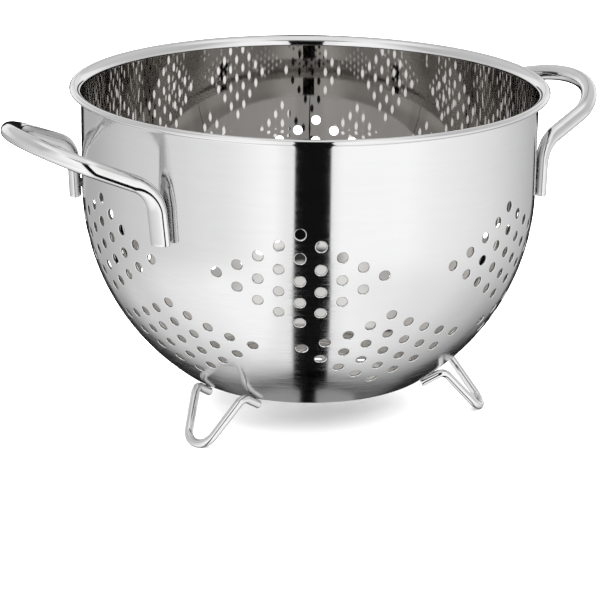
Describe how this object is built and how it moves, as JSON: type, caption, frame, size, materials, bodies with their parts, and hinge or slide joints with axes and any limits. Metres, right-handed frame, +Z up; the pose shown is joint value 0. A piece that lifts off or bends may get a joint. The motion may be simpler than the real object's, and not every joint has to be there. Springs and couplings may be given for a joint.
{
  "type": "colander",
  "caption": "Round-bottomed steel colander with diamond-shaped groups of drain holes, a rolled rim, bent rod side handles and bent wire feet.",
  "frame": {"origin": "on the surface that the feet stand on, under the middle of the bowl", "axes": "+Z up along the bowl's axis, +X from the middle of the bowl to the right handle, +Y to the back"},
  "size_m": [0.3216, 0.239, 0.1667],
  "materials": {
    "satin_bowl": "satin brushed outside, polished inside",
    "polished_rod": "mirror polished stainless steel",
    "polished_wire": "mirror polished stainless steel",
    "weld_metal": "dull, as welded"
  },
  "bodies": {
    "root": {"bowl": "satin_bowl", "handle_left": "polished_rod", "handle_right": "polished_rod", "handle_left_welds": "weld_metal", "handle_right_welds": "weld_metal", "foot_front_left": "polished_wire", "foot_front_right": "polished_wire", "foot_back": "polished_wire", "foot_front_left_welds": "weld_metal", "foot_front_right_welds": "weld_metal", "foot_back_welds": "weld_metal"}
  },
  "joints": []
}
